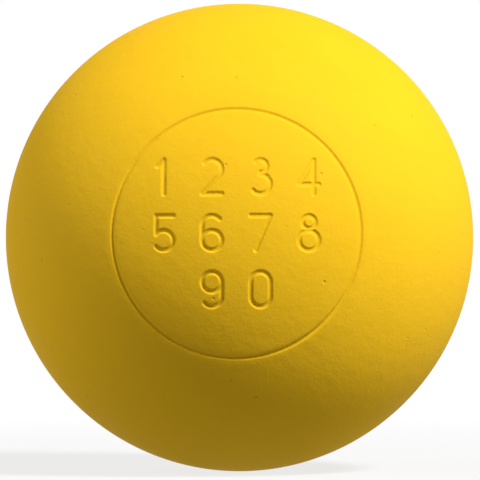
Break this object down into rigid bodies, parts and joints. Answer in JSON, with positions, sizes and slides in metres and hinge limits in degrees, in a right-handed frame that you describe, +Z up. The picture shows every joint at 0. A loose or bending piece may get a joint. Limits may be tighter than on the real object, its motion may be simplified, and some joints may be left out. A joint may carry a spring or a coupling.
{
  "type": "lacrosse ball",
  "caption": "Smooth solid rubber ball for lacrosse: a core under a moulded cover, with an engraved ring and plain numbers on its front.",
  "frame": {"origin": "centre of the ball", "axes": "+Z up, -Y towards the side with the engraved ring, +X to the right of someone who looks at that side"},
  "size_m": [0.0634, 0.0636, 0.0634],
  "materials": {
    "cover_rubber": "smooth matt yellow moulded rubber",
    "core_rubber": "undyed brown rubber with a ground surface"
  },
  "bodies": {
    "root": {"core": "core_rubber", "front_cover": "cover_rubber", "back_cover": "cover_rubber"}
  },
  "joints": []
}
